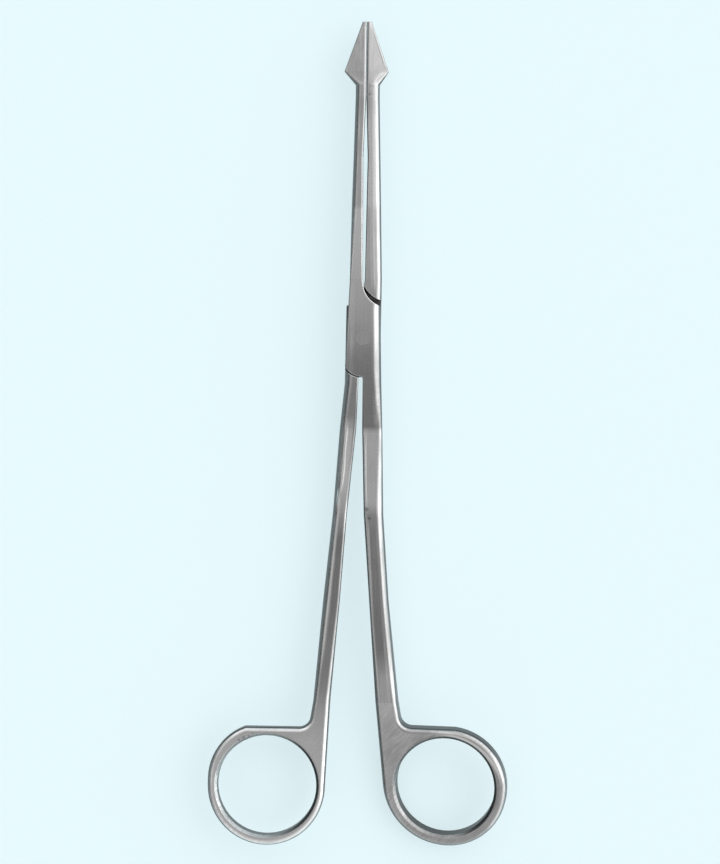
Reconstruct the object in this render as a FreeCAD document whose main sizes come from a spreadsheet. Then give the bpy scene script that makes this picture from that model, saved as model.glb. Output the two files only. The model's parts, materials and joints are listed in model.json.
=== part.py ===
import FreeCAD, Part
import math
import os

import Sketcher

# Peritonsillar forceps: two forged halves crossing in a lap joint, held by one countersunk screw.
# Millimetres. Each half is drawn in its own frame: the hinge is the origin, the jaw points to +Y,
# the handle to -Y with its ring on the +X side, and the lap plate lies on the +Z side.
# The back half is such a half turned about Y, so its jaw comes out on the other side.

SIZES = {
    # Joint
    "joint_thickness": 5.4,
    "joint_top": 13.4,
    "joint_bottom": 9.0,
    "joint_end": 10.4,
    "slot_corner_radius": 0.3,
    "joint_edge_radius": 0.25,
    "joint_side_radius": 1.8,
    "plate_corner_x": 3.9,
    "plate_corner_y": 7.4,
    "plate_crotch_y": 11.75,
    "plate_sweep_radius": 5.5,
    "plate_heel_x": 4.05,
    "plate_heel_y": 6.7,
    "plate_heel_end": 0.35,
    "lap_gap": 0.04,
    "shoulder_gap": 0.15,
    "wedge_gap": 1.2,
    "crotch_gap": 0.35,
    "recess_sweep_radius": 6.3,
    "recess_overrun": 3.0,
    # Screw
    "screw_radius": 1.75,
    "screw_head_radius": 2.8,
    "screw_head_rim": 0.25,
    "screw_slot_width": 0.7,
    "screw_slot_depth": 0.75,
    "screw_running_gap": 0.05,
    "screw_thread_gap": 0.02,
    # Jaws
    "jaw_length": 72.8,
    "jaw_gap": 0.08,
    "barb_station": 61.3,
    "spear_neck_station": 58.2,
    "jaw_mid_station": 30.2,
    "jaw_high_station": 41.5,
    "jaw_end_station": 55.3,
    "jaw_root_gap": 0.5,
    "jaw_mid_gap": 0.82,
    "jaw_high_gap": 1.04,
    "barb_width": 5.05,
    "tip_width": 1.0,
    "barb_edge_thickness": 0.9,
    "tip_edge_thickness": 0.7,
    "spear_thickness": 3.0,
    "tip_thickness": 1.5,
    "jaw_mid_thickness": 4.6,
    "jaw_high_thickness": 4.0,
    "jaw_end_thickness": 3.3,
    "jaw_face_radius": 0.4,
    "spear_edge_radius": 0.3,
    # Handles
    "waist_start": 21.0,
    "waist_end": 40.5,
    "handle_mid": 60.3,
    "fork_station": 83.4,
    "handle_thickness": 4.0,
    "handle_neck_radius": 0.5,
    "handle_outer_radius": 1.65,
    "handle_inner_radius": 0.6,
    # Finger rings
    "ring_y": 103.1,
    "ring_hole_radius": 11.4,
    "ring_wall": 2.2,
    "ring_thickness": 4.6,
    "ring_edge_radius": 1.1,
    "ring_hole_bevel": 0.6,
    "web_flare": 1.0,
    "web_corner_radius": 2.7,
    # The front half: left jaw and right handle as seen from the front
    "front_jaw_top_width": 2.95,
    "front_joint_back_radius": 0.4,
    "front_jaw_back_radius": 1.3,
    "front_jaw_mid_width": 2.57,
    "front_jaw_high_width": 2.2,
    "front_jaw_end_width": 2.4,
    "front_handle_top_inner": 0.05,
    "front_handle_top_width": 4.3,
    "front_waist_start_inner": 0.1,
    "front_waist_start_width": 4.62,
    "front_waist_start_radius": 0.9,
    "front_waist_end_inner": 0.7,
    "front_waist_end_width": 4.5,
    "front_mid_inner": 2.2,
    "front_mid_width": 4.5,
    "front_fork_inner": 4.13,
    "front_fork_width": 5.0,
    "front_ring_x": 20.95,
    "front_ring_top_rise": 0.25,
    "front_ring_band": 3.0,
    "front_ring_shoulder": 1.5,
    "front_ring_shoulder_rise": 0.3,
    "front_ring_cant": 11.0,
    "front_hole_shift": 0.55,
    "front_hole_rise": 0.4,
    # The back half: right jaw and left handle
    "back_jaw_top_width": 3.9,
    "back_joint_back_radius": 1.3,
    "back_jaw_back_radius": 1.45,
    "back_jaw_mid_width": 3.33,
    "back_jaw_high_width": 2.93,
    "back_jaw_end_width": 3.05,
    "back_handle_top_inner": 0.95,
    "back_handle_top_width": 3.1,
    "back_waist_start_inner": 1.3,
    "back_waist_start_width": 3.75,
    "back_waist_start_radius": 1.6,
    "back_waist_end_inner": 3.15,
    "back_waist_end_width": 3.25,
    "back_mid_inner": 4.5,
    "back_mid_width": 3.85,
    "back_fork_inner": 6.4,
    "back_fork_width": 3.85,
    "back_ring_x": 20.68,
    "back_ring_top_rise": -0.2,
    "back_ring_band": 1.9,
    "back_ring_shoulder": 5.2,
    "back_ring_shoulder_rise": 1.4,
    "back_ring_cant": 2.0,
    "back_hole_shift": 0.0,
    "back_hole_rise": 0.1,
}

# The axis about which a ring is canted, in the plan of its half.
CANT_AXIS = (0.66, -0.75)
# Two places nearer than this are taken as one when an edge is looked for.
NEAR = 0.01

document = FreeCAD.newDocument("peritonsillar_forceps")
sheet = document.addObject("Spreadsheet::Sheet", "sizes")
for row, (alias, size) in enumerate(SIZES.items(), start=1):
    sheet.set(f"A{row}", alias)
    sheet.set(f"B{row}", str(size))
    sheet.setAlias(f"B{row}", alias)
document.recompute()


def named(expression):
    """Write the sheet's name before every size in an expression."""
    words = []
    word = ""
    for letter in expression + " ":
        if letter.isalnum() or letter == "_":
            word += letter
            continue
        words.append("sizes." + word if word in SIZES else word)
        words.append(letter)
        word = ""
    return "".join(words).strip()


def value(expression):
    """The number that an expression of sizes stands for."""
    result = sheet.evalExpression(named(expression))
    return float(getattr(result, "Value", result))


def plane_of(body, role):
    return next(item for item in body.Origin.OriginFeatures if item.Role == role)


def sketch_on(body, name, role, base=None, turn=None):
    """A sketch on one of the body's own planes, moved by expressions and turned about an axis."""
    sketch = body.newObject("Sketcher::SketchObject", name)
    sketch.AttachmentSupport = [(plane_of(body, role), "")]
    sketch.MapMode = "FlatFace"
    axis, angle = turn if turn else ((0, 0, 1), None)
    angle_now = value(angle) if angle else 0.0
    rotation = FreeCAD.Rotation(FreeCAD.Vector(*axis), angle_now)
    sketch.AttachmentOffset = FreeCAD.Placement(FreeCAD.Vector(0, 0, 0), rotation)
    for letter, expression in zip("xyz", base or ()):
        sketch.setExpression(f"AttachmentOffset.Base.{letter}", named(expression))
    if angle:
        sketch.setExpression("AttachmentOffset.Rotation.Angle", named(angle))
    return sketch


def bind(sketch, constraint, expression):
    """Add one dimension to a sketch and tie it to the sheet."""
    index = sketch.addConstraint(constraint)
    sketch.setExpression(f"Constraints[{index}]", named(expression))


def place_point(sketch, geometry, end, x, y):
    """Hold one end of an edge at a place given by two expressions."""
    for kind, expression in (("DistanceX", x), ("DistanceY", y)):
        number = value(expression)
        bind(sketch, Sketcher.Constraint(kind, -1, 1, geometry, end, number), expression)


def arc_between(start, end, radius):
    """The arc from start to end; a positive radius bulges to the right of the way along it."""
    chord = end - start
    middle = (start + end) * 0.5
    across = FreeCAD.Vector(-chord.y, chord.x, 0).normalize()
    height = math.sqrt(max(radius * radius - chord.Length ** 2 / 4, 0))
    side = 1 if radius > 0 else -1
    centre = middle + across * height * side
    first = math.atan2(start.y - centre.y, start.x - centre.x)
    last = math.atan2(end.y - centre.y, end.x - centre.x)
    circle = Part.Circle(centre, FreeCAD.Vector(0, 0, 1), abs(radius))
    if radius > 0:
        return Part.ArcOfCircle(circle, first, last), 1
    return Part.ArcOfCircle(circle, last, first), 2


def draw_outline(sketch, corners, radii=None):
    """A closed outline through corners given as expressions; radii holds the sides that are arcs.

    A side's radius is an expression with a sign: plus bulges outwards on an outline drawn
    anticlockwise, minus bulges inwards.
    """
    radii = radii or {}
    points = [FreeCAD.Vector(value(x), value(y), 0) for x, y in corners]
    starts = []
    for number, point in enumerate(points):
        following = points[(number + 1) % len(points)]
        if number in radii:
            sign, expression = radii[number]
            arc, start = arc_between(point, following, sign * value(expression))
            sketch.addGeometry(arc, False)
            starts.append(start)
        else:
            sketch.addGeometry(Part.LineSegment(point, following), False)
            starts.append(1)
    for number, (x, y) in enumerate(corners):
        before = (number - 1) % len(corners)
        sketch.addConstraint(
            Sketcher.Constraint("Coincident", before, 3 - starts[before], number, starts[number]))
        place_point(sketch, number, starts[number], x, y)
        if number in radii:
            expression = radii[number][1]
            bind(sketch, Sketcher.Constraint("Radius", number, value(expression)), expression)


def draw_section(sketch, left, right, left_half, right_half, left_radius, right_radius):
    """A rounded four-sided section, even about the middle of the thickness.

    It runs across from left to right, with a half thickness and a corner radius at each side.
    """
    sizes = [value(item) for item in (left, right, left_half, right_half)]
    corners = [
        (sizes[0], -sizes[2]), (sizes[1], -sizes[3]), (sizes[1], sizes[3]), (sizes[0], sizes[2])]
    radii = [left_radius, right_radius, right_radius, left_radius]
    points = [FreeCAD.Vector(x, y, 0) for x, y in corners]
    rounded = []
    for number, point in enumerate(points):
        radius = value(radii[number])
        back = (points[number - 1] - point).normalize()
        ahead = (points[(number + 1) % 4] - point).normalize()
        half_angle = back.getAngle(ahead) / 2
        reach = radius / math.tan(half_angle)
        centre = point + (back + ahead).normalize() * (radius / math.sin(half_angle))
        rounded.append((point + back * reach, point + ahead * reach, centre, radius))
    # Edges 0 to 3 are the sides, 4 to 7 the rounded corners and 8 to 11 the corners' own points.
    for number in range(4):
        side = Part.LineSegment(rounded[number][1], rounded[(number + 1) % 4][0])
        sketch.addGeometry(side, False)
    for enter, leave, centre, radius in rounded:
        first = math.atan2(enter.y - centre.y, enter.x - centre.x)
        last = math.atan2(leave.y - centre.y, leave.x - centre.x)
        circle = Part.Circle(centre, FreeCAD.Vector(0, 0, 1), radius)
        sketch.addGeometry(Part.ArcOfCircle(circle, first, last), False)
    for point in points:
        sketch.addGeometry(Part.Point(point), True)
    for number in range(4):
        before = (number - 1) % 4
        corner = 4 + number
        sketch.addConstraint(Sketcher.Constraint("Tangent", before, 2, corner, 1))
        sketch.addConstraint(Sketcher.Constraint("Tangent", corner, 2, number, 1))
        sketch.addConstraint(Sketcher.Constraint("PointOnObject", 8 + number, 1, before))
        sketch.addConstraint(Sketcher.Constraint("PointOnObject", 8 + number, 1, number))
        radius = Sketcher.Constraint("Radius", corner, value(radii[number]))
        bind(sketch, radius, radii[number])
    place_point(sketch, 8, 1, left, f"-({left_half})")
    place_point(sketch, 9, 1, right, f"-({right_half})")
    place_point(sketch, 10, 1, right, right_half)
    place_point(sketch, 11, 1, left, left_half)


def loft(body, name, sections):
    """A straight-sided solid through sections, of which the first may be a face of the body."""
    feature = body.newObject("PartDesign::AdditiveLoft", name)
    feature.Profile = sections[0]
    feature.Sections = sections[1:]
    feature.Ruled = True
    document.recompute()
    return feature


def pad_both_ways(body, name, sketch, thickness):
    feature = body.newObject("PartDesign::Pad", name)
    feature.Profile = sketch
    feature.SideType = "Symmetric"
    feature.setExpression("Length", named(thickness))
    return feature


def edges_where(feature, test):
    """Names of the edges of a feature whose middle point passes a test."""
    names = []
    for number, edge in enumerate(feature.Shape.Edges, start=1):
        middle = edge.valueAt((edge.FirstParameter + edge.LastParameter) / 2)
        if test(edge, middle):
            names.append(f"Edge{number}")
    return names


def end_face(feature, middle, normal):
    """The flat face of a feature that lies nearest a place and looks along a direction."""
    def distance(numbered):
        number, face = numbered
        return face.CenterOfMass.distanceToPoint(middle)

    flats = [
        (number, face) for number, face in enumerate(feature.Shape.Faces, start=1)
        if isinstance(face.Surface, Part.Plane) and face.normalAt(0, 0).dot(normal) > 0.99]
    return feature, [f"Face{min(flats, key=distance)[0]}"]


def bevel_edges(body, name, feature, edges, size):
    bevel = body.newObject("PartDesign::Chamfer", name)
    bevel.Base = (feature, edges)
    bevel.setExpression("Size", named(size))
    document.recompute()
    return bevel


def round_edges(body, name, feature, edges, radius):
    fillet = body.newObject("PartDesign::Fillet", name)
    fillet.Base = (feature, edges)
    fillet.setExpression("Radius", named(radius))
    document.recompute()
    return fillet


def cut_through(body, name, sketch):
    feature = body.newObject("PartDesign::Pocket", name)
    feature.Profile = sketch
    feature.SideType = "Symmetric"
    feature.Type = "ThroughAll"
    return feature


def section_at(body, name, station, *sizes):
    """A section across the half at a place along it, counted from the hinge towards the handle."""
    sketch = sketch_on(body, name, "XZ_Plane", ("0", "0", station))
    draw_section(sketch, *sizes)
    return sketch


def make_ring_head(body, half):
    """The finger ring, the web beside it and the end of the shank, canted as one."""
    width = f"{half}_fork_width"
    centre_x = f"({half}_fork_inner + {width} / 2)"
    cant = f"{half}_ring_cant"
    across, along = CANT_AXIS
    outer = "(ring_hole_radius + ring_wall)"
    top = f"({outer} + {half}_ring_top_rise)"
    shoulder = f"({outer} - {half}_ring_shoulder)"
    rise = f"{half}_ring_shoulder_rise"
    ring_x = f"({half}_ring_x - {centre_x})"
    ring_y = "(fork_station - ring_y)"
    ring_top = f"({ring_y} + {top})"
    hole_x = f"({ring_x} - {half}_hole_shift)"
    hole_y = f"({ring_y} + {half}_hole_rise)"
    band_x = f"({hole_x} - ring_hole_radius - {half}_ring_band)"
    reach = f"({ring_x} - {band_x})"
    place = (centre_x, "-fork_station", "0")
    plan = sketch_on(body, "ring_plan", "XY_Plane", place, ((across, along, 0), cant))
    corners = [
        (f"-{width} / 2", "0"),
        (band_x, ring_y),
        (ring_x, f"{ring_y} - {outer}"),
        (f"{ring_x} + {outer}", ring_y),
        (f"{ring_x} + {outer}", f"{ring_y} + {rise}"),
        (f"{ring_x} + {half}_ring_shoulder", ring_top),
        (f"{width} / 2 + web_flare", ring_top),
        (f"{width} / 2", "0"),
    ]
    radii = {
        1: (1, f"({reach}^2 + {outer}^2) / (2 * {outer})"),
        2: (1, outer),
        4: (1, f"({shoulder}^2 + ({top} - {rise})^2) / (2 * {shoulder})"),
    }
    draw_outline(plan, corners, radii)
    blank = pad_both_ways(body, "ring_head", plan, "ring_thickness")
    document.recompute()
    flat = plan.Placement.inverse()
    web_corner = FreeCAD.Vector(value(f"{width} / 2 + web_flare"), value(ring_top), 0)

    def at_corner(edge, middle):
        return flat.multVec(middle).distanceToPoint(web_corner) < NEAR

    def on_face(edge, middle):
        local = flat.multVec(middle)
        return abs(abs(local.z) - value("ring_thickness") / 2) < NEAR and local.y < -NEAR

    web = round_edges(
        body, "web_round", blank, edges_where(blank, at_corner), "web_corner_radius")
    round_edges(body, "ring_round", web, edges_where(web, on_face), "ring_edge_radius")

    hole = sketch_on(body, "ring_hole_plan", "XY_Plane", place, ((across, along, 0), cant))
    centre = FreeCAD.Vector(value(hole_x), value(hole_y), 0)
    radius = value("ring_hole_radius")
    hole.addGeometry(Part.Circle(centre, FreeCAD.Vector(0, 0, 1), radius), False)
    bind(hole, Sketcher.Constraint("Radius", 0, radius), "ring_hole_radius")
    place_point(hole, 0, 3, hole_x, hole_y)
    bore = cut_through(body, "ring_hole", hole)
    document.recompute()

    def round_hole(edge, middle):
        local = flat.multVec(middle)
        away = FreeCAD.Vector(local.x, local.y, 0).distanceToPoint(centre)
        return on_face(edge, middle) and abs(away - radius) < NEAR

    rim = edges_where(bore, round_hole)
    head = bevel_edges(body, "ring_hole_bevel", bore, rim, "ring_hole_bevel")
    upward = plan.Placement.Rotation.multVec(FreeCAD.Vector(0, 1, 0))
    return end_face(head, plan.Placement.Base, upward)


def make_handle(body, half, fork, root):
    """The handle's shank: deep at the joint, sloped down over the waist, then slim to the fork."""
    def station(name, place, inner, width, half_depth, inner_radius, outer_radius):
        return section_at(
            body, name, place, inner, f"({inner} + {width})", half_depth, half_depth,
            inner_radius, outer_radius)

    upper = station(
        "waist_top_section", "waist_start", f"{half}_waist_start_inner",
        f"{half}_waist_start_width", "joint_thickness / 2", "handle_neck_radius",
        f"{half}_waist_start_radius")
    lower = station(
        "waist_foot_section", "waist_end", f"{half}_waist_end_inner", f"{half}_waist_end_width",
        "handle_thickness / 2", "handle_inner_radius", "handle_outer_radius")
    middle = station(
        "handle_mid_section", "handle_mid", f"{half}_mid_inner", f"{half}_mid_width",
        "handle_thickness / 2", "handle_inner_radius", "handle_outer_radius")
    loft(body, "handle_shank", [fork, middle, lower])
    loft(body, "waist", [lower, upper])
    loft(body, "handle_neck", [root, upper])


HEEL_RADIUS = (
    "(((plate_heel_x - plate_heel_end)^2 + (joint_bottom - plate_heel_y)^2)"
    " / (2 * (joint_bottom - plate_heel_y)))")


def make_joint(body, half):
    """The block at the joint, in plan the whole lap plate with the roots of jaw and handle.

    The heel of the plate is an arc that leaves the slot between the handles square to the length,
    so that it stays inside the other half's shoulder as the joint opens.
    """
    plan = sketch_on(body, "joint_plan", "XY_Plane")
    inner = f"{half}_handle_top_inner"
    outer = f"({inner} + {half}_handle_top_width)"
    jaw_back = f"-(jaw_root_gap / 2 + {half}_jaw_top_width)"
    corners = [
        (outer, "-joint_end"),
        ("plate_corner_x", "plate_corner_y"),
        ("-jaw_gap / 2", "plate_crotch_y"),
        ("-jaw_root_gap / 2", "joint_top"),
        (jaw_back, "joint_top"),
        ("-plate_heel_x", "-plate_heel_y"),
        ("-plate_heel_end", "-joint_bottom"),
        (f"{inner} - slot_corner_radius", "-joint_bottom"),
        (inner, "-(joint_bottom + slot_corner_radius)"),
        (inner, "-joint_end"),
    ]
    radii = {
        1: (-1, "plate_sweep_radius"),
        5: (1, HEEL_RADIUS),
        7: (-1, "slot_corner_radius"),
    }
    draw_outline(plan, corners, radii)
    block = pad_both_ways(body, "joint_block", plan, "joint_thickness")
    document.recompute()

    sides = {
        "joint_side_radius": FreeCAD.Vector(
            value(f"({outer} + plate_corner_x) / 2"), value("(plate_corner_y - joint_end) / 2"), 0),
        f"{half}_joint_back_radius": FreeCAD.Vector(
            value(f"({jaw_back} - plate_heel_x) / 2"), value("(joint_top - plate_heel_y) / 2"), 0),
    }

    def on_face(middle):
        return abs(abs(middle.z) - value("joint_thickness") / 2) < NEAR

    def distance(middle, side):
        return math.hypot(middle.x - side.x, middle.y - side.y)

    def outline(edge, middle):
        inside = -value("joint_end") + NEAR < middle.y < value("joint_top") - NEAR
        clear = all(distance(middle, side) > 2 * value(size) for size, side in sides.items())
        return on_face(middle) and inside and clear

    rounded = block
    for size, side in sides.items():
        long_edges = edges_where(
            rounded, lambda edge, middle: on_face(middle) and distance(middle, side) < NEAR)
        rounded = round_edges(body, size.replace("radius", "round"), rounded, long_edges, size)
    rounded = round_edges(
        body, "joint_round", rounded, edges_where(rounded, outline), "joint_edge_radius")
    handle_middle = FreeCAD.Vector(value(f"({inner} + {outer}) / 2"), -value("joint_end"), 0)
    jaw_middle = FreeCAD.Vector(value(f"{jaw_back} / 2"), value("joint_top"), 0)
    handle_root = end_face(rounded, handle_middle, FreeCAD.Vector(0, -1, 0))
    jaw_root = end_face(rounded, jaw_middle, FreeCAD.Vector(0, 1, 0))
    return handle_root, jaw_root


def make_jaw(body, half, root):
    """The jaw's slim shank and the half spear at its end, with its barb to the outside."""
    def station(name, place, gap, width, outer_half, inner_half, outer_radius, inner_radius):
        return section_at(
            body, name, f"-{place}", f"-({gap} / 2 + {width})", f"-{gap} / 2", outer_half,
            inner_half, outer_radius, inner_radius)

    middle = station(
        "jaw_mid_section", "jaw_mid_station", "jaw_mid_gap", f"{half}_jaw_mid_width",
        "jaw_mid_thickness / 2", "jaw_mid_thickness / 2", f"{half}_jaw_back_radius", "jaw_face_radius")
    high = station(
        "jaw_high_section", "jaw_high_station", "jaw_high_gap", f"{half}_jaw_high_width",
        "jaw_high_thickness / 2", "jaw_high_thickness / 2", f"{half}_jaw_back_radius",
        "jaw_face_radius")
    upper = station(
        "jaw_end_section", "jaw_end_station", "jaw_gap", f"{half}_jaw_end_width",
        "jaw_end_thickness / 2", "jaw_end_thickness / 2", f"{half}_jaw_back_radius", "jaw_face_radius")
    neck = station(
        "spear_neck_section", "spear_neck_station", "jaw_gap", f"{half}_jaw_end_width",
        "spear_thickness / 2", "spear_thickness / 2", f"{half}_jaw_back_radius", "jaw_face_radius")
    barb = station(
        "barb_section", "barb_station", "jaw_gap", "barb_width", "barb_edge_thickness / 2",
        "spear_thickness / 2", "spear_edge_radius", "jaw_face_radius")
    tip = station(
        "tip_section", "jaw_length", "jaw_gap", "tip_width", "tip_edge_thickness / 2",
        "tip_thickness / 2", "spear_edge_radius", "jaw_face_radius")
    loft(body, "jaw_shank", [root, middle])
    loft(body, "jaw_shank_end", [middle, high, upper, neck])
    loft(body, "spear_root", [neck, barb])
    loft(body, "spear", [barb, tip])


def cut_recess(body):
    """Clear the back of the joint for the other half's plate, with a shoulder at each end."""
    plan = sketch_on(body, "recess_plan", "XY_Plane", ("0", "0", "lap_gap / 2"))
    left = "-(plate_corner_x + recess_overrun)"
    right = "plate_heel_x + recess_overrun"
    foot = "-(joint_bottom + shoulder_gap)"
    heel = "-(plate_heel_y + shoulder_gap)"
    crotch = "plate_crotch_y + crotch_gap"
    shoulder = "plate_corner_y + wedge_gap"
    corners = [
        (left, foot),
        ("plate_heel_end + shoulder_gap", foot),
        ("plate_heel_x + shoulder_gap", heel),
        (right, heel),
        (right, crotch),
        ("jaw_gap / 2", crotch),
        ("-plate_corner_x", shoulder),
        (left, shoulder),
    ]
    radii = {1: (1, HEEL_RADIUS), 5: (-1, "recess_sweep_radius")}
    draw_outline(plan, corners, radii)
    recess = body.newObject("PartDesign::Pocket", "lap_recess")
    recess.Profile = plan
    recess.setExpression("Length", named("joint_thickness"))
    recess.Reversed = False
    document.recompute()


def turned_profile(body, name, corners):
    """An outline beside the hinge axis, given as pairs of radius and height."""
    sketch = sketch_on(body, name, "XZ_Plane")
    draw_outline(sketch, corners)
    return sketch


def turn_about_hinge(body, kind, name, sketch):
    feature = body.newObject(kind, name)
    feature.Profile = sketch
    feature.ReferenceAxis = (sketch, ["V_Axis"])
    feature.Angle = 360
    return feature


def bore_for_screw(body, half):
    """The front plate is tapped; the back plate runs on the screw and takes its head."""
    face = "joint_thickness / 2"
    over = f"{face} + recess_overrun"
    if half == "front":
        bore = "screw_radius + screw_thread_gap"
        corners = [("0", f"-({over})"), (bore, f"-({over})"), (bore, over), ("0", over)]
    else:
        bore = "screw_radius + screw_running_gap"
        head = "screw_head_radius + screw_running_gap"
        rim = f"{face} - screw_head_rim - screw_running_gap"
        cone = "(screw_head_radius - screw_radius)"
        corners = [
            ("0", f"-({over})"), (bore, f"-({over})"), (bore, f"{rim} - {cone}"),
            (head, rim), (head, over), ("0", over)]
    profile = turned_profile(body, "screw_bore_profile", corners)
    turn_about_hinge(body, "PartDesign::Groove", "screw_bore", profile)
    document.recompute()


def make_half(half):
    body = document.addObject("PartDesign::Body", f"{half}_half")
    body.Label = f"{half}_half"
    body.AllowCompound = True
    handle_root, jaw_root = make_joint(body, half)
    fork = make_ring_head(body, half)
    make_handle(body, half, fork, handle_root)
    make_jaw(body, half, jaw_root)
    cut_recess(body)
    bore_for_screw(body, half)
    return body


def make_screw():
    """The countersunk screw: slotted head at the back, its end ground flush at the front."""
    body = document.addObject("PartDesign::Body", "joint_screw")
    body.Label = "joint_screw"
    face = "joint_thickness / 2"
    rim = f"-({face} - screw_head_rim)"
    cone = "(screw_head_radius - screw_radius)"
    corners = [
        ("0", f"-{face}"),
        ("screw_head_radius", f"-{face}"),
        ("screw_head_radius", rim),
        ("screw_radius", f"{rim} + {cone}"),
        ("screw_radius", face),
        ("0", face),
    ]
    profile = turned_profile(body, "screw_profile", corners)
    turn_about_hinge(body, "PartDesign::Revolution", "screw_blank", profile)
    slot = sketch_on(body, "slot_plan", "XY_Plane", ("0", "0", f"-{face}"))
    wide = "screw_slot_width / 2"
    long = "screw_head_radius + screw_running_gap"
    draw_outline(slot, [
        (f"-({long})", f"-{wide}"), (long, f"-{wide}"), (long, wide), (f"-({long})", wide)])
    cut = body.newObject("PartDesign::Pocket", "screw_slot")
    cut.Profile = slot
    cut.Reversed = True
    cut.setExpression("Length", named("screw_slot_depth"))
    document.recompute()
    return body


front_half = make_half("front")
back_half = make_half("back")
joint_screw = make_screw()
subparts = [front_half, back_half, joint_screw]

# The origin is the middle of the resting face, so the hinge stands off it along the length.
hinge_y = "(ring_y + ring_hole_radius + ring_wall - jaw_length) / 2"
back_half.Placement = FreeCAD.Placement(
    FreeCAD.Vector(0, 0, 0), FreeCAD.Rotation(FreeCAD.Vector(0, 1, 0), 180))
for body in subparts:
    body.setExpression("Placement.Base.y", named(hinge_y))
document.recompute()
lowest = min(body.Shape.optimalBoundingBox(False, False).ZMin for body in subparts)
for body in subparts:
    body.Placement.Base.z = -lowest
document.recompute()

for item in document.Objects:
    for trouble in ("Invalid", "Error"):
        if trouble in item.State:
            raise RuntimeError(f"{item.Name} has the state {item.State}")
for body in subparts:
    if body.Shape.isNull() or not body.Shape.isValid():
        raise RuntimeError(f"{body.Label} has no valid shape")

os.makedirs("parts", exist_ok=True)
for body in subparts:
    body.Shape.exportStep(os.path.join("parts", f"{body.Label}.step"))
    box = body.Shape.optimalBoundingBox(False, False)
    print(body.Label, "volume", round(body.Shape.Volume, 2), "solids", len(body.Shape.Solids),
          "box", [round(number, 2) for number in (box.XMin, box.YMin, box.ZMin, box.XMax, box.YMax,
                                                  box.ZMax)])
print("hinge at", [round(number, 4) for number in front_half.Placement.Base])
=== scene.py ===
import json
import math

import bmesh
import bpy
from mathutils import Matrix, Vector


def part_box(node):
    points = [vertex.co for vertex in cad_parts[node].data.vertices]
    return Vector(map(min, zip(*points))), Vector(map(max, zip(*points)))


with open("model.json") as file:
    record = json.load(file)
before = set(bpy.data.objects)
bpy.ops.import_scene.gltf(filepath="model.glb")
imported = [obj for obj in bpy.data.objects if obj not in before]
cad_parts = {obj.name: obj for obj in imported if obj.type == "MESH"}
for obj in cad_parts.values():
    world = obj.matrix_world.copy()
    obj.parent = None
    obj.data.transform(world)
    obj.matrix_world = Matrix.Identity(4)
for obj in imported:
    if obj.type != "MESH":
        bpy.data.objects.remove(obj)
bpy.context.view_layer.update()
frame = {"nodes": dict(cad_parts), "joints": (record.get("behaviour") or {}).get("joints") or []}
nodes = frame["nodes"]
hinge = Vector(frame["joints"][0]["pos_m"])
print("frame loaded")

# Camera: straight down on the instrument, which lies a little turned in the picture
camera = {
    "height": 0.520,                # above the hinge
    "middle": (-0.0004, 0.0003),
    "turn": math.radians(0.78),
    "seenLength": 0.19898,          # tall side of the picture at the height of the hinge
    "sensor": 24.0,
    "nearest": 0.01,
}


def makeCamera():
    data = bpy.data.cameras.new("photoCamera")
    data.sensor_fit = "VERTICAL"
    data.sensor_height = camera["sensor"]
    data.lens = camera["sensor"] * camera["height"] / camera["seenLength"]
    data.clip_start = camera["nearest"]
    item = bpy.data.objects.new("photoCamera", data)
    bpy.context.scene.collection.objects.link(item)
    item.location = (*camera["middle"], hinge.z + camera["height"])
    item.rotation_euler = (0.0, 0.0, camera["turn"])
    bpy.context.scene.camera = item


makeCamera()
print("camera set")


# Nodes. A source is the output of another node, which is linked, or a plain value
def feed(tree, source, socket):
    if isinstance(source, bpy.types.NodeSocket):
        tree.links.new(source, socket)
    else:
        socket.default_value = source


def addNode(tree, kind, settings=None, sources=None):
    node = tree.nodes.new(kind)
    for key, setting in (settings or {}).items():
        setattr(node, key, setting)
    for key, source in (sources or {}).items():
        feed(tree, source, node.inputs[key])
    return node


def addMath(tree, operation, first, second=0.0):
    node = addNode(tree, "ShaderNodeMath", {"operation": operation}, {0: first, 1: second})
    return node.outputs[0]


def addVector(tree, operation, first, second=(0, 0, 0)):
    node = addNode(tree, "ShaderNodeVectorMath", {"operation": operation}, {0: first, 1: second})
    isNumber = operation in ("DISTANCE", "DOT_PRODUCT", "LENGTH")
    return node.outputs["Value" if isNumber else "Vector"]


def fromAbove(tree, source):
    return addVector(tree, "MULTIPLY", source, (1, 1, 0))


def addRange(tree, source, fromRange, toRange=(0.0, 1.0)):
    node = addNode(tree, "ShaderNodeMapRange", sources={
        "Value": source, "From Min": fromRange[0], "From Max": fromRange[1],
        "To Min": toRange[0], "To Max": toRange[1]})
    return node.outputs["Result"]


def addFade(tree, source, start, end):
    # Falls smoothly from 1 at start to 0 at end
    node = addNode(tree, "ShaderNodeMapRange", {"interpolation_type": "SMOOTHSTEP"}, {
        "Value": source, "From Min": start, "From Max": end, "To Min": 1.0, "To Max": 0.0})
    return node.outputs["Result"]


def greyRamp(tree, source, stops):
    # A ramp of greys, with its stops given as (number, grey) from the lowest number up
    low, high = stops[0][0], stops[-1][0]
    node = addNode(tree, "ShaderNodeValToRGB", sources={
        "Fac": addRange(tree, source, (low, high))})
    elements = node.color_ramp.elements
    while len(elements) < len(stops):
        elements.new(0.5)
    for element, (number, grey) in zip(elements, stops):
        element.position = (number - low) / (high - low)
        element.color = (grey, grey, grey, 1)
    return node.outputs["Color"]


def mixColours(tree, factor, first, second):
    first, second = ((*source, 1) if isinstance(source, tuple) else source
                     for source in (first, second))
    node = addNode(tree, "ShaderNodeMix", {"data_type": "RGBA"}, {0: factor, 6: first, 7: second})
    return node.outputs[2]


def mixNumbers(tree, factor, first, second):
    node = addNode(tree, "ShaderNodeMix", {"data_type": "FLOAT"}, {0: factor, 2: first, 3: second})
    return node.outputs[0]


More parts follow.
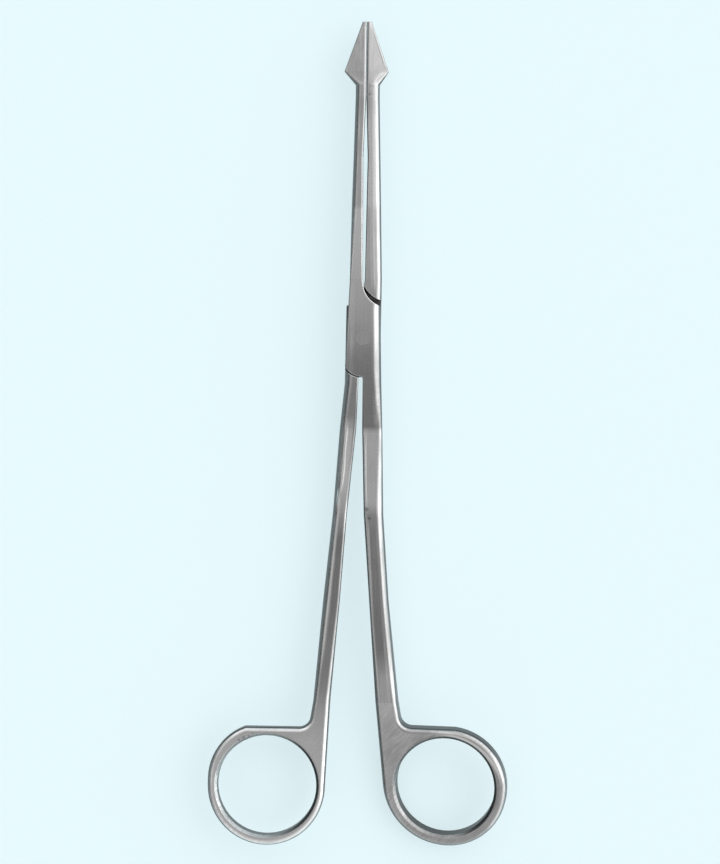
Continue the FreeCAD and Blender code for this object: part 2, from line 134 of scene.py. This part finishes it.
def scaleColour(tree, colour, factor):
    node = addNode(tree, "ShaderNodeVectorMath", {"operation": "SCALE"}, {
        0: colour, "Scale": factor})
    return node.outputs["Vector"]


def addBump(tree, height, distance, normal):
    node = addNode(tree, "ShaderNodeBump", sources={
        "Strength": 1.0, "Distance": distance, "Height": height, "Normal": normal})
    return node.outputs["Normal"]


def makeMaterial(name, constants):
    # A new material, its tree and its shader, with what is the same all over set on the shader
    material = bpy.data.materials.new(name)
    material.use_nodes = True
    shader = material.node_tree.nodes["Principled BSDF"]
    for key, value in constants.items():
        shader.inputs[key].default_value = value
    return material, material.node_tree, shader


# Light: a pale room, brighter on the right, dark low down on the left and dimmer right overhead,
# with one wide soft lamp low on the right
lamps = {
    "rightSoftbox": {"place": (2.75, 0.10, 1.30), "size": (2.4, 3.6), "watts": 31.0},
}
room = {
    "sideways": [
        (-1.0, 0.05), (-0.84, 0.08), (-0.70, 0.52), (-0.50, 0.78), (-0.25, 0.68), (-0.08, 0.54),
        (0.04, 0.54), (0.16, 0.80), (0.32, 1.00), (0.60, 1.16), (1.0, 1.16)],
    "lengthwise": [
        (-1.0, 1.5), (-0.60, 1.4), (-0.25, 1.0), (0.22, 1.0), (0.40, 1.6), (0.60, 2.0),
        (1.0, 2.0)],
    "overhead": [(-1.0, 0.0), (-0.17, 0.0), (-0.10, 1.0), (0.05, 1.0), (0.12, 0.0), (1.0, 0.0)],
    "overheadReach": (0.12, 0.35),
    "overheadDim": 0.45,
    "strength": 1.07,
}


def makeLamp(name, spec):
    data = bpy.data.lights.new(name, "AREA")
    data.shape = "RECTANGLE"
    data.size, data.size_y = spec["size"]
    data.energy = spec["watts"]
    item = bpy.data.objects.new(name, data)
    bpy.context.scene.collection.objects.link(item)
    item.location = spec["place"]
    towards = Vector((0, 0, 0)) - item.location
    item.rotation_euler = towards.to_track_quat("-Z", "Y").to_euler()


def makeRoom():
    world = bpy.data.worlds.new("room")
    bpy.context.scene.world = world
    world.use_nodes = True
    tree = world.node_tree
    tree.nodes.clear()
    direction = addNode(tree, "ShaderNodeTexCoord").outputs["Generated"]
    parts = addNode(tree, "ShaderNodeSeparateXYZ", sources={0: direction}).outputs
    across = greyRamp(tree, parts["X"], room["sideways"])
    along = greyRamp(tree, parts["Y"], room["lengthwise"])
    above = greyRamp(tree, parts["Y"], room["overhead"])
    near = addRange(tree, addMath(tree, "ABSOLUTE", parts["X"]), room["overheadReach"],
                    (room["overheadDim"], 0.0))
    dim = addMath(tree, "SUBTRACT", 1.0, addMath(tree, "MULTIPLY", above, near))
    level = addMath(tree, "MULTIPLY", addMath(tree, "MULTIPLY", across, along), dim)
    around = addNode(tree, "ShaderNodeBackground", sources={
        "Strength": addMath(tree, "MULTIPLY", level, room["strength"])})
    addNode(tree, "ShaderNodeOutputWorld", sources={"Surface": around.outputs[0]})


for lampName, lampSpec in lamps.items():
    makeLamp(lampName, lampSpec)
makeRoom()
bpy.context.scene.view_settings.view_transform = "Standard"
print("lights set")

# Floor and a low round backdrop: pale, and partly their own plain colour where the camera and the
# steel see them, so that the shadow stays faint
stage = {
    "size": 8.0,
    "backdropRadius": 3.9,
    "backdropHeight": 0.9,
    "backdropSides": 96,
    "colour": (0.807, 0.956, 0.991),
    "roughness": 0.9,
    "plainShare": 0.7,
}


def makePaleFinish():
    material, tree, shader = makeMaterial("paleFinish", {
        "Base Color": (*stage["colour"], 1), "Roughness": stage["roughness"],
        "Specular IOR Level": 0.0})
    plain = addNode(tree, "ShaderNodeEmission", sources={"Color": (*stage["colour"], 1)})
    path = addNode(tree, "ShaderNodeLightPath").outputs
    seen = addMath(tree, "MAXIMUM", path["Is Camera Ray"], path["Is Glossy Ray"])
    seen = addMath(tree, "MAXIMUM", seen, path["Is Transmission Ray"])
    mix = addNode(tree, "ShaderNodeMixShader", sources={
        "Fac": addMath(tree, "MULTIPLY", seen, stage["plainShare"]),
        1: shader.outputs[0], 2: plain.outputs[0]})
    feed(tree, mix.outputs[0], tree.nodes["Material Output"].inputs["Surface"])
    return material


def addStagePiece(name, bm, material):
    mesh = bpy.data.meshes.new(name)
    bm.to_mesh(mesh)
    bm.free()
    mesh.materials.append(material)
    item = bpy.data.objects.new(name, mesh)
    bpy.context.scene.collection.objects.link(item)
    return item


def makeStage():
    material = makePaleFinish()
    bm = bmesh.new()
    bmesh.ops.create_grid(bm, x_segments=1, y_segments=1, size=stage["size"] / 2)
    addStagePiece("floor", bm, material)
    bm = bmesh.new()
    bmesh.ops.create_cone(
        bm, cap_ends=False, segments=stage["backdropSides"], radius1=stage["backdropRadius"],
        radius2=stage["backdropRadius"], depth=stage["backdropHeight"])
    backdrop = addStagePiece("backdrop", bm, material)
    backdrop.location.z = stage["backdropHeight"] / 2


makeStage()
print("floor and backdrop made")

# Shared effects. Each is a group that puts out masks, never a shader
effects = {
    "edgeTurn": (1.0, 0.80),        # cosine between the surface and its bevel: flat, fully worn
    "edgeBreaks": (0.35, 0.6),      # the wear comes and goes between these values of its noise
    "edgeLeast": 0.4,
    "pitLeast": 0.4,                # added to a draw from 0 to 1, which sets a pit's size
    "leftEarlier": 0.25,            # slopes that face left count as walls a little earlier, so the left side takes more painted shade
    "facesPoint": (0.1, 0.7),
    "shadeFull": 0.12,               # the painted shade is full where the surface is no more open than this
}


def newGroup(name, inputs, outputs):
    group = bpy.data.node_groups.new(name, "ShaderNodeTree")
    for label, kind, start in inputs:
        socket = group.interface.new_socket(name=label, in_out="INPUT", socket_type=kind)
        if start is not None:
            socket.default_value = start
    for label, kind in outputs:
        group.interface.new_socket(name=label, in_out="OUTPUT", socket_type=kind)
    enter = group.nodes.new("NodeGroupInput")
    leave = group.nodes.new("NodeGroupOutput")
    return group, enter.outputs, leave.inputs


def makeGrindMarks():
    # Fine scratches of a belt grind, drawn out in the direction given
    group, enter, leave = newGroup(
        "grindMarks",
        [("Vector", "NodeSocketVector", None), ("Turn", "NodeSocketFloat", 0.0),
         ("Scale", "NodeSocketFloat", 1600.0), ("Stretch", "NodeSocketFloat", 0.08)],
        [("Marks", "NodeSocketFloat")])
    turned = addNode(group, "ShaderNodeVectorRotate", {"rotation_type": "Z_AXIS"}, {
        "Vector": enter["Vector"], "Angle": enter["Turn"]})
    squeeze = addNode(group, "ShaderNodeCombineXYZ", sources={
        "X": enter["Stretch"], "Y": 1.0, "Z": 1.0})
    drawn = addVector(group, "MULTIPLY", turned.outputs[0], squeeze.outputs[0])
    fine = addNode(group, "ShaderNodeTexNoise", sources={
        "Vector": drawn, "Scale": enter["Scale"], "Detail": 3.0, "Roughness": 0.6})
    feed(group, fine.outputs["Fac"], leave["Marks"])
    return group


def makeEdgeWear():
    # Edges rubbed soft and bright: the mask is strong where a small bevel would turn the surface
    group, enter, leave = newGroup(
        "edgeWear",
        [("Reach", "NodeSocketFloat", 0.0003), ("Vector", "NodeSocketVector", None)],
        [("Edge", "NodeSocketFloat"), ("Normal", "NodeSocketVector")])
    soft = addNode(group, "ShaderNodeBevel", {"samples": 6}, {"Radius": enter["Reach"]})
    plain = addNode(group, "ShaderNodeNewGeometry").outputs["Normal"]
    turned = addVector(group, "DOT_PRODUCT", soft.outputs["Normal"], plain)
    worn = addRange(group, turned, effects["edgeTurn"])
    broken = addNode(group, "ShaderNodeTexNoise", sources={
        "Vector": enter["Vector"], "Scale": 900.0, "Detail": 2.0})
    some = addRange(group, broken.outputs["Fac"], effects["edgeBreaks"],
                    (effects["edgeLeast"], 1.0))
    feed(group, addMath(group, "MULTIPLY", worn, some), leave["Edge"])
    feed(group, soft.outputs["Normal"], leave["Normal"])
    return group


def makePinMarks():
    # Small round pits, each in its own cell, of which only a share is pitted
    group, enter, leave = newGroup(
        "pinMarks",
        [("Vector", "NodeSocketVector", None), ("Scale", "NodeSocketFloat", 600.0),
         ("Share", "NodeSocketFloat", 0.05), ("Size", "NodeSocketFloat", 0.12)],
        [("Pits", "NodeSocketFloat")])
    cells = addNode(group, "ShaderNodeTexVoronoi", sources={
        "Vector": enter["Vector"], "Scale": enter["Scale"]}).outputs
    draw = addNode(group, "ShaderNodeSeparateColor", sources={0: cells["Color"]}).outputs
    chosen = addMath(group, "LESS_THAN", draw[0], enter["Share"])
    reach = addMath(group, "MULTIPLY", enter["Size"],
                    addMath(group, "ADD", draw[1], effects["pitLeast"]))
    depth = addMath(group, "SUBTRACT", 1.0,
                    addMath(group, "DIVIDE", cells["Distance"], reach))
    shape = addMath(group, "MAXIMUM", depth, 0.0)
    feed(group, addMath(group, "MULTIPLY", chosen, shape), leave["Pits"])
    return group


def makeUprightWalls():
    # A mask of the walls that stand upright, which a belt doesn't reach: they are duller and carry
    # painted shade. Away tells which of them face the point
    group, enter, leave = newGroup(
        "uprightWalls",
        [("Low", "NodeSocketFloat", 0.54), ("High", "NodeSocketFloat", 0.76)],
        [("Walls", "NodeSocketFloat"), ("Away", "NodeSocketFloat")])
    normal = addNode(group, "ShaderNodeTexCoord").outputs["Normal"]
    parts = addNode(group, "ShaderNodeSeparateXYZ", sources={0: normal}).outputs
    leftward = addMath(group, "MULTIPLY", addMath(group, "MINIMUM", parts["X"]),
                       effects["leftEarlier"])
    lean = addMath(group, "ADD", addMath(group, "ABSOLUTE", parts["Z"]), leftward)
    feed(group, addFade(group, lean, enter["Low"], enter["High"]), leave["Walls"])
    feed(group, addRange(group, parts["Y"], effects["facesPoint"]), leave["Away"])
    return group


def makeSoftSpot():
    # A round mask that fades out from its centre
    group, enter, leave = newGroup(
        "softSpot",
        [("Vector", "NodeSocketVector", None), ("Centre", "NodeSocketVector", None),
         ("Size", "NodeSocketFloat", 0.001)],
        [("Spot", "NodeSocketFloat")])
    away = addVector(group, "DISTANCE", enter["Vector"], enter["Centre"])
    feed(group, addFade(group, away, 0.0, enter["Size"]), leave["Spot"])
    return group


def makeSoftBand():
    # A mask that fades out on both sides of the place where Off is zero
    group, enter, leave = newGroup(
        "softBand",
        [("Off", "NodeSocketFloat", 0.0), ("Width", "NodeSocketFloat", 0.0005),
         ("Share", "NodeSocketFloat", 1.0)],
        [("Band", "NodeSocketFloat")])
    fade = addFade(group, addMath(group, "ABSOLUTE", enter["Off"]), 0.0, enter["Width"])
    feed(group, addMath(group, "MULTIPLY", fade, enter["Share"]), leave["Band"])
    return group


def makeCreviceShade():
    # Painted shade where the surface is nearly closed in, as in the lap and along the seam
    group, enter, leave = newGroup(
        "creviceShade",
        [("Reach", "NodeSocketFloat", 0.0025), ("Open", "NodeSocketFloat", 0.55)],
        [("PaintedShade", "NodeSocketFloat")])
    hidden = addNode(group, "ShaderNodeAmbientOcclusion", {"samples": 8}, {
        "Distance": enter["Reach"]})
    feed(group, addFade(group, hidden.outputs["AO"], effects["shadeFull"], enter["Open"]),
         leave["PaintedShade"])
    return group


grindMarks = makeGrindMarks()
edgeWear = makeEdgeWear()
pinMarks = makePinMarks()
uprightWalls = makeUprightWalls()
softSpot = makeSoftSpot()
softBand = makeSoftBand()
creviceShade = makeCreviceShade()
print("shared effects made")


def useGroup(tree, group, sources=None):
    return addNode(tree, "ShaderNodeGroup", {"node_tree": group}, sources).outputs


# Forged halves: satin steel, ground along the shanks and slantwise on the ring heads, with painted
# light and shade in zones along the length, rubbed edges, dull walls with painted shade, painted
# highlights and a few pin marks
forgedLook = {
    "dark": (0.50, 0.50, 0.50),
    "light": (0.66, 0.66, 0.66),
    # rubbed edges, and the colour of painted highlights in gleams and bright ridge lines
    "edge": (0.76, 0.76, 0.755),
    # painted shade on the upright walls, on the ring heads' walls that face the point and in the
    # finger ring's hole
    "wallShade": (0.18, 0.18, 0.182),
    "awayWallShade": (0.065, 0.065, 0.066),      # painted shade on the ring heads' walls that face the point
    "holeWallShade": (0.055, 0.055, 0.056),
    # pits, real specks, and the painted shade of the large stains and dark ridge lines
    "pitAndShadeTone": (0.10, 0.10, 0.105),
    # painted shade in the crevices
    "paintedCreviceShade": (0.03, 0.03, 0.03),
    "roughness": (0.20, 0.32),
    "edgeRoughness": 0.18,
    "wallRoughness": 0.38,
    "edgeReach": 0.0003,
    "flushReach": (0.0021, 0.0026),         # round the screw's end both are ground as one
    "flushEdge": 0.00001,
    "alongMarks": {"Turn": math.radians(90), "Scale": 2600.0, "Stretch": 0.07},
    "slantedMarks": {"Turn": math.radians(-48), "Scale": 1700.0, "Stretch": 0.05},
    "acrossMarks": {"Scale": 1500.0, "Stretch": 0.12},
    "headStart": (-0.060, -0.070),          # the slanted marks of the ring heads begin here
    "slantedShare": (0.15, 1.0),            # share of slanted marks on the shanks and the heads
    "neck": [(0.0, 0.0), (0.0010, 0.7), (0.0115, 0.7), (0.0155, 0.0)],  # share of marks across
    "cloudScale": 160.0,
    "marksShare": 0.6,                      # of the tone; the rest is the cloud's
    "toneRange": (0.38, 0.62),
    "grindHeight": 0.000005,
    "pitDepth": 8.0,                        # in heights of the grind
    "swellHeight": 0.00010,
    "swellScale": 90.0,
    "ridgeHeight": 0.00005,
    "lineAside": 0.05,                      # keeps a line's places above zero, as greys have to be
    "arcFull": 0.6,                         # an arc is at full strength over this share of its span
    "holeReach": 0.0122,                    # the finger ring's hole with its bevel
    # painted shade: the finger ring's hole and its bevel are darkened by this factor
    "holeShade": 0.76,
    "lap": [(0.0120, 0.0), (0.0128, 1.0), (0.0306, 1.0), (0.0312, 0.0)],
    "lapDepth": 0.0004,                     # the faces that slide on each other are darker
    "lapDarkTone": (0.19, 0.19, 0.19),
}
# For each half: painted light and shade against the place along the length, from the rings to the
# point in metres, the middle of the finger ring, stains (real specks, and painted shade on the
# point and the plate) and painted highlights as place, size and strength, and ridges (some raised):
# lines as points (y, x), arcs as centre, radius and (middle angle, half its span) in degrees, each
# with half its width, its height as a share of ridgeHeight and its painted light (from -1, painted
# shade, to 1, painted highlight)
halves = {
    "front": {
        "lightAndShadeZones": [
            (-0.095, 0.66), (-0.086, 0.74), (-0.070, 0.76), (-0.062, 0.88), (-0.056, 0.90),
            (-0.050, 0.56), (-0.024, 0.68), (-0.0185, 0.84), (-0.0160, 1.26), (0.0005, 1.26),
            (0.0012, 0.58), (0.0090, 0.60), (0.0150, 0.68), (0.0230, 0.92), (0.0300, 1.12),
            (0.0515, 1.26), (0.0522, 0.88), (0.070, 0.92), (0.075, 0.76), (0.095, 0.76)],
        "ring": (0.0204, -0.0807),
        "stainsAndShade": [
            ((0.0013, -0.0174, 0.0073), 0.0008, 0.7), ((0.0020, -0.0195, 0.0072), 0.0006, 0.7),
            ((-0.0038, 0.0143, 0.0079), 0.0006, 0.9), ((0.0014, 0.0165, 0.0079), 0.0080, 0.16),
            ((-0.0032, 0.0874, 0.0072), 0.0016, 0.14), ((-0.0022, 0.0855, 0.0072), 0.0016, 0.16)],
        "paintedHighlights": [
            ((-0.0048, 0.0834, 0.0072), 0.0014, 0.6), ((-0.0034, 0.0830, 0.0072), 0.0014, 0.6)],
        "lines": [
            ([(0.0652, -0.0005), (0.0814, -0.0005), (0.0929, -0.0006), (0.0947, -0.0006)],
             0.00044, 0.9, 0.6),
            ([(0.0111, -0.0028), (0.0203, -0.0026), (0.0319, -0.0026), (0.0371, -0.0025)],
             0.00092, 0, 0.45),
            ([(0.0095, 0.0027), (0.0146, 0.0025), (0.0272, 0.0023), (0.0302, 0.0022)],
             0.00069, 0.9, 0.2),
            ([(-0.0188, 0.0014), (-0.0131, 0.0010), (-0.0038, 0.0008), (0.0019, 0.0009)],
             0.00041, 0.9, 0.5),
            ([(-0.0006, 0.0034), (0.0031, 0.0031), (0.0081, 0.0029), (0.0111, 0.0028)],
             0.00069, 0.8, 0.3),
            ([(-0.0177, 0.0047), (-0.0131, 0.0045), (-0.0015, 0.0043), (0.0042, 0.0043)],
             0.00069, 0, -0.45),
            ([(-0.0614, 0.0049), (-0.0545, 0.0042), (-0.0430, 0.0030), (-0.0223, 0.0017),
              (-0.0181, 0.0012)], 0.00046, 0.6, 0.6),
            ([(-0.0626, 0.0076), (-0.0568, 0.0071), (-0.0430, 0.0058), (-0.0234, 0.0042),
              (-0.0177, 0.0039)], 0.00083, 1.4, 0.3),
        ],
        "arcs": [
            ((0.00560, 0.03484), 0.00588, (-138, 28), 0.00039, 1.1, 0.8),
            ((0.01865, -0.08370), 0.01527, (54, 43), 0.00083, 1.6, 0.8),
            ((0.01876, -0.08126), 0.01470, (-18, 23), 0.00074, 0.4, 0.5),
        ],
    },
    "back": {
        "lightAndShadeZones": [
            (-0.095, 1.34), (-0.080, 1.40), (-0.068, 1.26), (-0.058, 0.76), (-0.040, 0.60),
            (-0.024, 0.58), (-0.0170, 1.10), (-0.0100, 1.50), (0.0000, 1.36), (0.0040, 0.72),
            (0.0090, 0.74), (0.0150, 0.84), (0.0300, 0.96), (0.0515, 0.98), (0.0522, 1.14),
            (0.070, 1.05), (0.075, 0.80), (0.095, 0.80)],
        "ring": (-0.0207, -0.0810),
        "stainsAndShade": [
            ((0.0008, 0.0779, 0.0070), 0.0006, 0.8), ((-0.0038, 0.0141, 0.0079), 0.0006, 0.9),
            ((-0.0262, -0.0701, 0.0073), 0.0005, 0.7), ((-0.0272, -0.0707, 0.0072), 0.0004, 0.7),
            ((-0.0249, -0.0698, 0.0073), 0.0004, 0.6), ((-0.0241, -0.0692, 0.0073), 0.0003, 0.6),
            ((0.0008, 0.0836, 0.0072), 0.0012, 0.2), ((0.0022, 0.0834, 0.0072), 0.0012, 0.2),
            ((0.0034, 0.0834, 0.0072), 0.0009, 0.14)],
        "paintedHighlights": [((-0.0103, -0.0703, 0.0074), 0.0024, 0.45)],
        "lines": [
            ([(0.0314, 0.0023), (0.0342, 0.0022), (0.0468, 0.0018), (0.0583, 0.0016),
              (0.0733, 0.0013), (0.0772, 0.0013), (0.0795, 0.0013)], 0.00083, 1.4, 0.5),
            ([(0.0837, 0.0046), (0.0862, 0.0038), (0.0924, 0.0018), (0.0938, 0.0014)],
             0.00048, 0.9, 0.6),
            ([(-0.0195, -0.0063), (-0.0158, -0.0055), (-0.0131, -0.0048), (-0.0108, -0.0044),
              (-0.0075, -0.0041), (-0.0041, -0.0040), (0.0003, -0.0036), (0.0035, -0.0034)],
             0.00055, 1.4, 0.8),
            ([(-0.0188, -0.0034), (-0.0149, -0.0030), (0.0065, -0.0012), (0.0104, -0.0009)],
             0.00055, 0, -0.75),
            ([(-0.0557, -0.0088), (-0.0476, -0.0080), (-0.0384, -0.0071), (-0.0292, -0.0063),
              (-0.0200, -0.0056), (-0.0149, -0.0049)], 0.00083, 0, 0.9),
        ],
        "arcs": [
            ((0.00606, 0.07856), 0.00473, (149, 42), 0.00074, 1, 0.5),
        ],
    },
}
screwEnd = (hinge.x, hinge.y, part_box("joint_screw")[1][2])


def addLines(tree, parts, lines):
    # Bands along lines, which fade in and out over the first and the last part
    aside = forgedLook["lineAside"]
    surface = addMath(tree, "ADD", parts["X"], aside)
    made = []
    for points, width, lift, paintedLight in lines:
        middle = greyRamp(tree, parts["Y"], [(y, x + aside) for y, x in points])
        share = greyRamp(tree, parts["Y"], [
            (points[0][0], 0.0), (points[1][0], 1.0), (points[-2][0], 1.0), (points[-1][0], 0.0)])
        band = useGroup(tree, softBand, {
            "Off": addMath(tree, "SUBTRACT", surface, middle), "Width": width, "Share": share})
        made.append((band["Band"], lift, paintedLight))
    return made


def addArcs(tree, place, arcs):
    # Bands along arcs seen from above, which fade out towards both ends
    made = []
    for centre, radius, (middle, reach), width, lift, paintedLight in arcs:
        fromCentre = fromAbove(tree, addVector(tree, "SUBTRACT", place, (*centre, 0)))
        away = addVector(tree, "LENGTH", fromCentre)
        forward = (math.cos(math.radians(middle)), math.sin(math.radians(middle)), 0)
        turned = addMath(tree, "DIVIDE", addVector(tree, "DOT_PRODUCT", fromCentre, forward), away)
        ends = [math.cos(math.radians(reach * part)) for part in (1.0, forgedLook["arcFull"])]
        band = useGroup(tree, softBand, {
            "Off": addMath(tree, "SUBTRACT", away, radius), "Width": width,
            "Share": addRange(tree, turned, ends)})
        made.append((band["Band"], lift, paintedLight))
    return made


def makeForgedSteel(half):
    look, own = forgedLook, halves[half]
    material, tree, shader = makeMaterial(half + "ForgedSteel", {"Metallic": 1.0})
    place = addNode(tree, "ShaderNodeTexCoord").outputs["Object"]
    parts = addNode(tree, "ShaderNodeSeparateXYZ", sources={0: place}).outputs
    along, slanted, across = (
        useGroup(tree, grindMarks, {"Vector": place, **look[marks]})["Marks"]
        for marks in ("alongMarks", "slantedMarks", "acrossMarks"))
    fromScrew = addVector(tree, "DISTANCE", place, screwEnd)
    wear = useGroup(tree, edgeWear, {"Vector": place, "Reach": addRange(
        tree, fromScrew, look["flushReach"], (look["flushEdge"], look["edgeReach"]))})
    pits = useGroup(tree, pinMarks, {"Vector": place})["Pits"]
    walls = useGroup(tree, uprightWalls)
    paintedCreviceShade = useGroup(tree, creviceShade)["PaintedShade"]

    # Marks of the belt and the tone that they give
    onHead = addRange(tree, parts["Y"], look["headStart"], look["slantedShare"])
    marks = mixNumbers(tree, onHead, along, slanted)
    marks = mixNumbers(tree, greyRamp(tree, parts["Y"], look["neck"]), marks, across)
    cloud = addNode(tree, "ShaderNodeTexNoise", sources={
        "Vector": place, "Scale": look["cloudScale"], "Detail": 2.0}).outputs["Fac"]
    tone = addMath(tree, "ADD", addMath(tree, "MULTIPLY", marks, look["marksShare"]),
                   addMath(tree, "MULTIPLY", cloud, 1.0 - look["marksShare"]))
    spread = addRange(tree, tone, look["toneRange"])
    ground = mixColours(tree, spread, look["dark"], look["light"])
    # painted light and shade along the length
    zonedLightAndShade = addVector(tree, "MULTIPLY", ground, greyRamp(tree, parts["Y"], own["lightAndShadeZones"]))
    colour = mixColours(tree, wear["Edge"], zonedLightAndShade, look["edge"])

    # Painted shade on the walls, darker on the ring heads' walls that face the point and in the
    # finger ring's hole, then pits, stains with some painted shade, and painted highlights
    fromRing = addVector(tree, "DISTANCE", fromAbove(tree, place), (*own["ring"], 0))
    inHole = addMath(tree, "LESS_THAN", fromRing, look["holeReach"])
    colour = scaleColour(tree, colour, mixNumbers(tree, inHole, 1.0, look["holeShade"]))
    away = addMath(tree, "MULTIPLY", walls["Away"], onHead)
    wallShadeTone = mixColours(tree, away, look["wallShade"], look["awayWallShade"])
    wallShadeTone = mixColours(tree, inHole, wallShadeTone, look["holeWallShade"])
    colour = mixColours(tree, walls["Walls"], colour, wallShadeTone)
    colour = mixColours(tree, pits, colour, look["pitAndShadeTone"])
    for spots, tint in ((own["stainsAndShade"], look["pitAndShadeTone"]), (own["paintedHighlights"], look["edge"])):
        for centre, size, strength in spots:
            spot = useGroup(tree, softSpot, {"Vector": place, "Centre": centre, "Size": size})
            share = addMath(tree, "MULTIPLY", spot["Spot"], strength)
            colour = mixColours(tree, share, colour, tint)

    # Ridges, with painted highlights and painted shade along them, which stop at the walls
    upward = addMath(tree, "SUBTRACT", 1.0, walls["Walls"])
    ridge = None
    for mask, lift, paintedLight in (addLines(tree, parts, own["lines"])
                              + addArcs(tree, place, own["arcs"])):
        tint = look["edge"] if paintedLight > 0 else look["pitAndShadeTone"]
        share = addMath(tree, "MULTIPLY", addMath(tree, "MULTIPLY", mask, upward), abs(paintedLight))
        colour = mixColours(tree, share, colour, tint)
        if lift:
            height = addMath(tree, "MULTIPLY", mask, lift)
            ridge = height if ridge is None else addMath(tree, "ADD", ridge, height)

    # Darker faces at the lap, and painted shade in the crevices
    aboveLap = addMath(tree, "SUBTRACT", parts["Z"], hinge.z)
    onLap = addMath(tree, "LESS_THAN", addMath(tree, "ABSOLUTE", aboveLap), look["lapDepth"])
    lapDarkened = addMath(tree, "MULTIPLY", onLap, greyRamp(tree, parts["Y"], look["lap"]))
    colour = mixColours(tree, lapDarkened, colour, look["lapDarkTone"])
    colour = mixColours(tree, paintedCreviceShade, colour, look["paintedCreviceShade"])
    feed(tree, colour, shader.inputs["Base Color"])
    satin = mixNumbers(tree, spread, look["roughness"][1], look["roughness"][0])
    rough = mixNumbers(tree, wear["Edge"], satin, look["edgeRoughness"])
    dull = mixNumbers(tree, walls["Walls"], rough, look["wallRoughness"])
    feed(tree, dull, shader.inputs["Roughness"])

    # Relief: ridges and a slow swell of hand finishing, then the scratches and pits
    swell = addNode(tree, "ShaderNodeTexNoise", sources={
        "Vector": place, "Scale": look["swellScale"], "Detail": 1.0}).outputs["Fac"]
    scratches = addMath(tree, "SUBTRACT", marks,
                        addMath(tree, "MULTIPLY", pits, look["pitDepth"]))
    normal = addBump(tree, ridge, look["ridgeHeight"], wear["Normal"])
    normal = addBump(tree, swell, look["swellHeight"], normal)
    normal = addBump(tree, scratches, look["grindHeight"], normal)
    feed(tree, normal, shader.inputs["Normal"])
    return material


def giveMaterial(name, material):
    mesh = nodes[name].data
    if not mesh.materials:
        mesh.materials.append(material)
    for number in range(len(mesh.materials)):
        mesh.materials[number] = material


giveMaterial("front_half", makeForgedSteel("front"))
giveMaterial("back_half", makeForgedSteel("back"))

# Joint screw: turned, so its marks run round its axis, with painted shade on its upright walls and
# in its slot; its end is ground flush
screwLook = {
    "dark": (0.50, 0.50, 0.50),
    "light": (0.70, 0.70, 0.695),
    "slot": (0.16, 0.16, 0.165),
    "ringScale": 5200.0,
    "ringHeight": 0.000006,
    "toneRange": (0.36, 0.64),
    "flushTone": 0.86,
    "edgeReach": 0.0003,
    "roughness": (0.22, 0.34),
}


def makeTurnedSteel():
    look = screwLook
    material, tree, shader = makeMaterial("turnedSteel", {"Metallic": 1.0})
    place = addNode(tree, "ShaderNodeTexCoord").outputs["Object"]
    centred = addVector(tree, "SUBTRACT", place, tuple(hinge))
    parts = addNode(tree, "ShaderNodeSeparateXYZ", sources={0: centred}).outputs
    atFront = addMath(tree, "GREATER_THAN", parts["Z"])
    outwards = addVector(tree, "LENGTH", fromAbove(tree, centred))
    rings = addNode(tree, "ShaderNodeTexNoise", {"noise_dimensions": "1D"}, {
        "W": outwards, "Scale": look["ringScale"], "Detail": 2.0}).outputs["Fac"]
    ground = useGroup(tree, grindMarks, {"Vector": place, **forgedLook["alongMarks"]})["Marks"]
    marks = mixNumbers(tree, atFront, rings, ground)
    wear = useGroup(tree, edgeWear, {"Vector": place, "Reach": mixNumbers(
        tree, atFront, look["edgeReach"], forgedLook["flushEdge"])})
    walls = useGroup(tree, uprightWalls)["Walls"]
    spread = addRange(tree, marks, look["toneRange"])
    turned = mixColours(tree, spread, look["dark"], look["light"])
    colour = scaleColour(tree, turned, mixNumbers(tree, atFront, 1.0, look["flushTone"]))
    colour = mixColours(tree, wear["Edge"], colour, look["light"])
    # painted shade on the screw's upright walls and in its slot
    colour = mixColours(tree, walls, colour, look["slot"])
    feed(tree, colour, shader.inputs["Base Color"])
    rough = mixNumbers(tree, spread, look["roughness"][1], look["roughness"][0])
    feed(tree, rough, shader.inputs["Roughness"])
    normal = addBump(tree, marks, look["ringHeight"], wear["Normal"])
    feed(tree, normal, shader.inputs["Normal"])
    return material


giveMaterial("joint_screw", makeTurnedSteel())
print("steel given")
